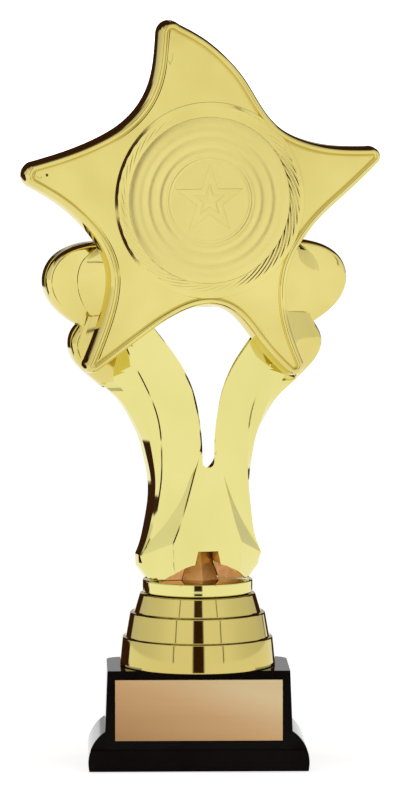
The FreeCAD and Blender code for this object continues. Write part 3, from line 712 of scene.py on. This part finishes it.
# the scroll plate's section from its back to its face: (inset, forward depth)
SCROLL_RIM = [(0.25, -2.0), (0.0, -1.2), (0.1, -0.2), (0.45, 0.9), (0.8, 1.55), (1.15, 1.82),
              (1.5, 1.9)]
PETAL_BASE = 1.6
PETAL_LIP = [(0.0, PETAL_BASE), (0.0, 2.3), (0.03, 2.55), (0.07, 2.65)]     # share, depth
PETAL_RISE = 6.6        # further rise from the lip to the root


def at_height(points, z):
    """Where a falling curve passes a height: (x, depth) or x."""
    dense = smooth(points, 240)
    heights = dense[:, -1][::-1]
    return [float(np.interp(z, heights, dense[:, axis][::-1]))
            for axis in range(dense.shape[1] - 1)]


def stem_ring(halves):
    """Closed ring of points from a right half and a left half that's mirrored."""
    right, left = halves
    mirrored = [(-x, depth, z) for x, depth, z in reversed(left[1:-1])]
    return [world(*p) for p in right + mirrored]


def stem_half(z, lean):
    """Half a ring at a height; the narrow strips along its creases fall by lean."""
    inner = at_height(COLUMN_INNER, z)
    crease = at_height(CREASE, z)
    rim_x = at_height(RIM, z)[0]
    if z < BELL_TOP_Z:
        share = (BELL_TOP_Z - z) / (BELL_TOP_Z - TIP_Z)
        bell_z = BELL_TOP_Z - share * (BELL_TOP_Z - BELL_FOOT_Z)
        bell = at_height(BELL_EDGE, bell_z)
    else:
        bell_z = z
        slot_x = float(np.interp(z, [p[1] for p in OPENING], [p[0] for p in OPENING]))
        edge_x = max(inner[0], slot_x) + STRIP_WIDTH
        slope = (crease[1] - inner[1]) / (crease[0] - inner[0])
        inner = [edge_x, inner[1] + slope * (edge_x - inner[0])]
        bell = [edge_x - 2.0 * STRIP_WIDTH, inner[1] + 2.0 * STRIP_WIDTH * lean]
    bell[0] = min(bell[0], inner[0] - 0.02)
    heights, *columns = np.array(RECESS)[::-1].T
    across, behind = (float(np.interp(z, heights, column)) for column in columns)
    low = (crease[0] + across * (rim_x - crease[0]),
           crease[1] + behind * (STEM_RIM - crease[1]))
    strip = min(STRIP_WIDTH, 0.4 * (crease[0] - inner[0]))
    hem = min(STRIP_WIDTH, 0.4 * (inner[0] - bell[0]))
    rear_x = rim_x + 0.1
    return [(0, STEM_MIDDLE, bell_z), (0.5 * bell[0], 0.5 * (STEM_MIDDLE + bell[1]), bell_z),
            (bell[0], bell[1], bell_z), (bell[0] + hem, bell[1] - hem * lean, bell_z),
            (inner[0], inner[1], z), (crease[0] - strip, crease[1] + strip * lean, z),
            (crease[0], crease[1], z), (low[0], low[1], z),
            (rim_x, STEM_RIM, z), (rear_x, STEM_BACK, z), (0, STEM_BACK, z)]


def make_trunk():
    """Columns, crescent facets, bell panel and skirt as one closed body."""
    build = Builder()
    rings = [[stem_half(z, lean) for lean in STRIP_LEANS]
             for z in np.linspace(STEM_TOP_Z, TIP_Z, STEM_RINGS)]
    for start, end in ((rings[-1], (WAIST, WAIST)), ((WAIST, WAIST), (FOOT, FOOT))):
        for share in (0.34, 0.67, 1.0):
            rings.append([[tuple(a + (b - a) * share for a, b in zip(p, q))
                           for p, q in zip(one, other)] for one, other in zip(start, end)])
    rows = build.rows([stem_ring(halves) for halves in rings], closed=True)
    build.faces.append(tuple(rows[0]))
    build.faces.append(tuple(reversed(rows[-1])))
    return build.build("stem_trunk", TRUNK_SHARP, 0.01)


def prism(name, outline, front, back, near_flare=(0.0, 0.0), far_flare=(0.0, 0.0)):
    """Closed cutter through an outline (x, z); each end may widen and drop."""
    build = Builder()
    ends = []
    for depth, (widen, drop) in ((front, near_flare), (back, far_flare)):
        ends.append(build.add([world(x + widen * float(np.sign(round(x, 3))), depth, z - drop)
                               for x, z in outline]))
    build.strip(ends[0], ends[1], True)
    build.faces.append(tuple(ends[0]))
    build.faces.append(tuple(reversed(ends[1])))
    return build.build(name)


def carve(thing, cutters, sharp_degrees):
    """Cuts the closed cutters out of a piece and keeps the result as its mesh."""
    for cutter in cutters:
        cut = thing.modifiers.new("cut", "BOOLEAN")
        cut.operation = "DIFFERENCE"
        cut.solver = "MANIFOLD"
        cut.object = cutter
        bpy.context.view_layer.update()
        seen = thing.evaluated_get(bpy.context.evaluated_depsgraph_get())
        done = bpy.data.meshes.new_from_object(seen)
        thing.modifiers.clear()
        thing.data = done
        bpy.data.objects.remove(cutter)
    for polygon in thing.data.polygons:
        polygon.use_smooth = True
    thing.data.set_sharp_from_angle(angle=math.radians(sharp_degrees))


def gap_cutter():
    """Cutter for the gap: a slot with a round foot that flares to the back."""
    right = [tuple(p) for p in smooth(OPENING, 60)]
    foot = [(GAP_RADIUS * math.cos(a), GAP_FOOT_Z + GAP_RADIUS * math.sin(a))
            for a in np.linspace(-math.pi, 0, 17)]
    left = [(-x, z) for x, z in reversed(right)]
    flares = [(GAP_FLARE * (GAP_RIDGE - depth), GAP_DROP * (GAP_RIDGE - depth))
              for depth in (GAP_FRONT, GAP_BACK)]
    return prism("cut_gap", left + foot[1:-1] + right, GAP_FRONT, GAP_BACK, *flares)


def make_stem():
    """The trunk with its gap, its arched notch and the hollow for the nut cap."""
    trunk = make_trunk()
    span = ARCH[-1][0]
    arch = [(-span, NOTCH_FOOT_Z)] + arc_points(*ARCH, 41) + [(span, NOTCH_FOOT_Z)]
    cavity = Builder()
    lathe(cavity, CAVITY, (0, 0), 48)
    carve(trunk, [
        gap_cutter(),
        cavity.build("cut_cavity", 30.0, 0.05),
        prism("cut_arch", arch, NOTCH_FRONT, NOTCH_BACK),
        prism("cut_key", KEY, NOTCH_FRONT, NOTCH_BACK),
    ], TRUNK_SHARP)
    return trunk


def make_notch_wall(name, side):
    """Thin wall at the back of the arched notch, on one side of the nut cap, coloured with a
    painted reflection.
    """
    arch = [p for p in arc_points(*WALL_ARCH, 61) if p[0] > WALL_INNER_X]
    outline = [(5.9, 57.15), (WALL_INNER_X, 62.3)] + arch
    return prism(name, [(side * x, z) for x, z in outline], NOTCH_BACK + WALL_THICKNESS, NOTCH_BACK)


def make_scrolls():
    """The scroll plate with a rounded front edge."""
    build = Builder()
    outline = scroll_loop()
    loops = [inset_loop(outline, inset) for inset, _ in SCROLL_RIM]
    build.rows([flat_row(loop, depth) for loop, (_, depth) in zip(loops, SCROLL_RIM)], closed=True)
    build.fill(loops[-1], flat_cap(SCROLL_RIM[-1][1]), 3.0, None, 1.0)
    build.fill(loops[0], flat_cap(SCROLL_RIM[0][1]), 6.0, None, 2.0)
    plate = build.build("scroll_plate", 50.0)
    carve(plate, [gap_cutter()], 50.0)
    return plate


def make_petal(name, side, edge_points, root_points):
    """Domed petal that rises from a fine edge on the scroll to the star's wall."""
    build = Builder()
    edge = smooth(edge_points, 50)
    root = smooth(root_points, 50)
    lip_share, lip_depth = PETAL_LIP[-1]
    section = PETAL_LIP + [(share, lip_depth + PETAL_RISE * (share - lip_share))
                           for share in np.linspace(0.12, 1.0, 16)] + [(1.0, PETAL_BASE)]
    rows = []
    for share, depth in section:
        line = edge * (1 - share) + root * share
        rows.append([world(side * x, depth, z) for x, z in line])
    indices = build.rows(rows)
    build.strip(indices[-1], indices[0])
    build.faces.append(tuple(row[0] for row in indices))
    build.faces.append(tuple(row[-1] for row in reversed(indices)))
    return build.build(name, 40.0)


stem = make_stem()
dress(stem, GOLD_STEM, "figure", "gold_figure", "stem_front")
scrolls = make_scrolls()
dress(scrolls, GOLD, "figure", "gold_figure")
for side, hand in ((1, "right"), (-1, "left")):
    dress(make_petal("petal_" + hand, side, PETAL_EDGE, PETAL_ROOT), GOLD, "figure", "gold_figure")
    dress(make_petal("lower_petal_" + hand, side, LOWER_PETAL_EDGE, LOWER_PETAL_ROOT),
          GOLD, "figure", "gold_figure")
    dress(make_notch_wall("recess_wall_" + hand, side), NOTCH_PAINTED_REFLECTION, "figure", "gold_figure")

star = make_star()
dress(star, GOLD, "figure", "gold_figure", "star_front")
rope = make_rope()
dress(rope, ROPE_GOLD, "figure", "gold_figure", "rope_ring")
disc = make_insert()
dress(disc, GOLD_INSERT, "figure", "gold_insert", "insert_disc")
emblem = make_emblem()
dress(emblem, GOLD_INSERT, "figure", "gold_insert")

# ---- riser and collar -------------------------------------------------------------------

RISER_BORE = 2.9
RISER_RIM = 1.8         # how far the underside's edge lies inside the widest radius
# how far each tier's foot and head lie inside it, and the share of the height it ends at
RISER_TIERS = [(0.0, 0.9, 0.395), (1.9, 3.2, 0.736), (4.5, 6.2, 1.0)]
COLLAR_BORE = 2.6
COLLAR_RADIUS = 16.8


def rounded(profile, radius, steps=4):
    """(radius, z) polyline with each inner corner rounded."""
    out = [profile[0]]
    for before, corner, after in zip(profile, profile[1:], profile[2:]):
        p0, p1, p2 = (np.array(p, float) for p in (before, corner, after))
        reach = min(radius, 0.45 * np.linalg.norm(p1 - p0), 0.45 * np.linalg.norm(p2 - p1))
        a = p1 + (p0 - p1) / np.linalg.norm(p0 - p1) * reach
        b = p1 + (p2 - p1) / np.linalg.norm(p2 - p1) * reach
        for k in range(steps + 1):
            t = k / steps
            out.append(tuple((1 - t) ** 2 * a + 2 * t * (1 - t) * p1 + t * t * b))
    out.append(profile[-1])
    return out


def make_riser():
    """Three tiers between the CAD riser's foot and head."""
    low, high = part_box("riser_shell")
    bottom, top = low.z / MM, high.z / MM
    outer = (high.x - low.x) / 2 / MM
    profile = [(RISER_BORE, bottom), (outer - RISER_RIM, bottom)]
    z = bottom
    for foot, head, share in RISER_TIERS:
        profile.append((outer - foot, z))
        z = bottom + share * (top - bottom)
        profile.append((outer - head, z))
    profile.append((RISER_BORE, top))
    build = Builder()
    lathe(build, rounded(profile, 0.45) + [(RISER_BORE, top), (RISER_BORE, bottom)], (0, 0))
    return build.build("riser_tiers", 55.0)


def make_collar():
    low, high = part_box("collar")
    bottom, top = low.z / MM, high.z / MM
    profile = rounded([(COLLAR_BORE, bottom), (COLLAR_RADIUS - 0.2, bottom),
                       (COLLAR_RADIUS, bottom + 0.4), (COLLAR_RADIUS, top),
                       (COLLAR_BORE, top)], 0.5)
    build = Builder()
    lathe(build, profile + [(COLLAR_BORE, bottom)], (0, 0))
    return build.build("collar_ring", 55.0)


riser = make_riser()
dress(riser, GOLD_RISER, "base", "gold_riser", "riser_shell")
collar = make_collar()
dress(collar, GOLD_STEM, "figure", "gold_riser", "collar")

# ---- stage, light and camera ----------------------------------------------------------------

def stage_mesh(name, corners, faces, material):
    mesh = bpy.data.meshes.new(name)
    mesh.from_pydata(corners, [], faces)
    thing = bpy.data.objects.new(name, mesh)
    bpy.context.scene.collection.objects.link(thing)
    thing.data.materials.append(material)
    return thing


FLOOR_SIDE = 4.0
FLOOR_GLOW = 0.74
FLOOR, floor_nodes, floor_links, floor_shader = new_material("floor_pale")
floor_links.new(ramp(floor_nodes, floor_links, noise(floor_nodes, floor_links, 3.0),
                     [(0.3, 0.86), (0.7, 0.88)]), floor_shader.inputs["Base Color"])
floor_shader.inputs["Roughness"].default_value = 0.9
floor_shader.inputs["Emission Color"].default_value = (1, 1, 1, 1)
floor_shader.inputs["Emission Strength"].default_value = FLOOR_GLOW
floor = stage_mesh("floor", [(-FLOOR_SIDE, -FLOOR_SIDE, 0), (FLOOR_SIDE, -FLOOR_SIDE, 0),
                             (FLOOR_SIDE, FLOOR_SIDE, 0), (-FLOOR_SIDE, FLOOR_SIDE, 0)],
                   [(0, 1, 2, 3)], FLOOR)
floor.visible_glossy = False

# a round white wall that only the camera sees
WALL_SIDES = 48
WALL_FOOT = -0.5
WALL_HEIGHT = 6.0
WALL_GLOW = 1.1
BACKDROP, _, _, back_shader = new_material("backdrop_white")
back_shader.inputs["Base Color"].default_value = (0.9, 0.9, 0.9, 1)
back_shader.inputs["Emission Color"].default_value = (1, 1, 1, 1)
back_shader.inputs["Emission Strength"].default_value = WALL_GLOW
wall_points = []
for k in range(WALL_SIDES):
    turn = 2 * math.pi * k / WALL_SIDES
    for z in (WALL_FOOT, WALL_HEIGHT):
        wall_points.append((FLOOR_SIDE * math.cos(turn), FLOOR_SIDE * math.sin(turn), z))
wall_faces = []
for k in range(WALL_SIDES):
    n = (k + 1) % WALL_SIDES
    wall_faces.append((2 * k, 2 * n, 2 * n + 1, 2 * k + 1))
backdrop = stage_mesh("backdrop", wall_points, wall_faces, BACKDROP)
backdrop.visible_glossy = False
backdrop.visible_diffuse = False
backdrop.visible_shadow = False

# The room's light, by azimuth from the front and by height: a white room with a dark
# gap in front, where the camera stands, two fine dark lines beside it and dark gaps
# far round to the back, and darker towards the ceiling.
DARK = (0.040, 0.015, 0.008)
GAP_EDGE = 0.6          # width of a gap's soft edge, in degrees of azimuth
BAND_EDGE = 0.003       # half the blend between two bands, as a share of the half circle
CAMERA_GAP = (-8.8, 8.8)
LINES = [(-39.4, -37.2), (37.2, 39.4)]
world_data = bpy.data.worlds.new("studio")
bpy.context.scene.world = world_data
world_data.use_nodes = True
sky_nodes, sky_links = world_data.node_tree.nodes, world_data.node_tree.links
background = sky_nodes["Background"]


def math_node(operation, first, second=None):
    node = sky_nodes.new("ShaderNodeMath")
    node.operation = operation
    for socket, value in zip(node.inputs, (first, second)):
        if value is None:
            continue
        if isinstance(value, float):
            socket.default_value = value
        else:
            sky_links.new(value, socket)
    return node.outputs[0]


def share_of(value, low, high):
    node = sky_nodes.new("ShaderNodeMapRange")
    node.inputs["From Min"].default_value = low
    node.inputs["From Max"].default_value = high
    sky_links.new(value, node.inputs["Value"])
    return node.outputs[0]


direction = sky_nodes.new("ShaderNodeTexCoord")
split = sky_nodes.new("ShaderNodeSeparateXYZ")
sky_links.new(direction.outputs["Generated"], split.inputs[0])
azimuth = math_node("ARCTAN2", split.outputs["X"],
                    math_node("MULTIPLY", split.outputs["Y"], -1.0))
azimuth_share = share_of(azimuth, -math.pi, math.pi)
height_share = share_of(math_node("ARCSINE", split.outputs["Z"]), -math.pi / 2, math.pi / 2)


def round_band(levels, gaps):
    """Light by azimuth: levels at some degrees from the front, and dark gaps."""
    degrees = [d for d, _ in levels]
    values = [v for _, v in levels]

    def level(d):
        value = float(np.interp(d, degrees, values))
        return (value, value, value)

    stops = [(d, level(d)) for d in degrees if not any(low < d < high for low, high in gaps)]
    for low, high in gaps:
        stops.append((low, level(low)))
        stops.append((low + GAP_EDGE, DARK))
        stops.append((high - GAP_EDGE, DARK))
        stops.append((high, level(high)))
    stops.sort(key=lambda stop: stop[0])
    shares = [(0.5 + d / 360.0, colour) for d, colour in stops]
    return ramp(sky_nodes, sky_links, azimuth_share, shares)


EVEN = [(-180, 1.0), (180, 1.0)]
SIDES = [(-180, 0.5), (-166, 0.5), (-110, 0.76), (-75, 0.84), (-48, 0.97), (0, 1.0),
         (48, 0.97), (75, 0.84), (110, 0.76), (166, 0.5), (180, 0.5)]
HIGH = [(-180, 0.3), (-100, 0.4), (-50, 0.7), (0, 0.85), (50, 0.7), (100, 0.4), (180, 0.3)]
# (lowest height in degrees, levels by azimuth, gaps)
BANDS = [
    (-90.0, EVEN, []),
    (-20.0, EVEN, [(-148, -122), CAMERA_GAP]),
    (-7.9, EVEN, [(-166, -122), (150, 166)]),
    (-5.3, EVEN, [(-166, -125), CAMERA_GAP, (150, 166)]),
    (1.0, SIDES, [(-166, -136), LINES[0], CAMERA_GAP, LINES[1], (138, 166)]),
    (13.0, SIDES, [(-180, -128), LINES[0], CAMERA_GAP, LINES[1], (124, 180)]),
    (34.0, HIGH, [(-180, -110), (110, 180)]),
    (62.0, [(-180, 0.15), (180, 0.15)], [(-180, -90), (90, 180)]),
]
light = round_band(*BANDS[0][1:])
for lowest, levels, gaps in BANDS[1:]:
    blend = sky_nodes.new("ShaderNodeMix")
    blend.data_type = "RGBA"
    edge = (lowest + 90.0) / 180.0
    rise = [(edge - BAND_EDGE, 0.0), (edge + BAND_EDGE, 1.0)]
    sky_links.new(ramp(sky_nodes, sky_links, height_share, rise), blend.inputs["Factor"])
    sky_links.new(light, blend.inputs["A"])
    sky_links.new(round_band(levels, gaps), blend.inputs["B"])
    light = blend.outputs["Result"]
sky_links.new(light, background.inputs["Color"])
background.inputs["Strength"].default_value = 1.0

CAMERA_TURN = math.radians(-1.5)
CAMERA_AWAY = 1.6
CAMERA_HEIGHT = 0.255
AIM_HEIGHT = 0.112
camera_data = bpy.data.cameras.new("camera")
camera = bpy.data.objects.new("camera", camera_data)
bpy.context.scene.collection.objects.link(camera)
camera.location = (CAMERA_AWAY * math.sin(CAMERA_TURN), -CAMERA_AWAY * math.cos(CAMERA_TURN),
                   CAMERA_HEIGHT)
aim = Vector((0, 0, AIM_HEIGHT)) - camera.location
camera.rotation_euler = aim.to_track_quat("-Z", "Y").to_euler()
camera_data.sensor_fit = "VERTICAL"
camera_data.sensor_height = 24.0
camera_data.lens = 158.7
camera_data.shift_x = 0.005
camera_data.shift_y = -0.002
bpy.context.scene.camera = camera
bpy.context.scene.view_settings.view_transform = "Standard"
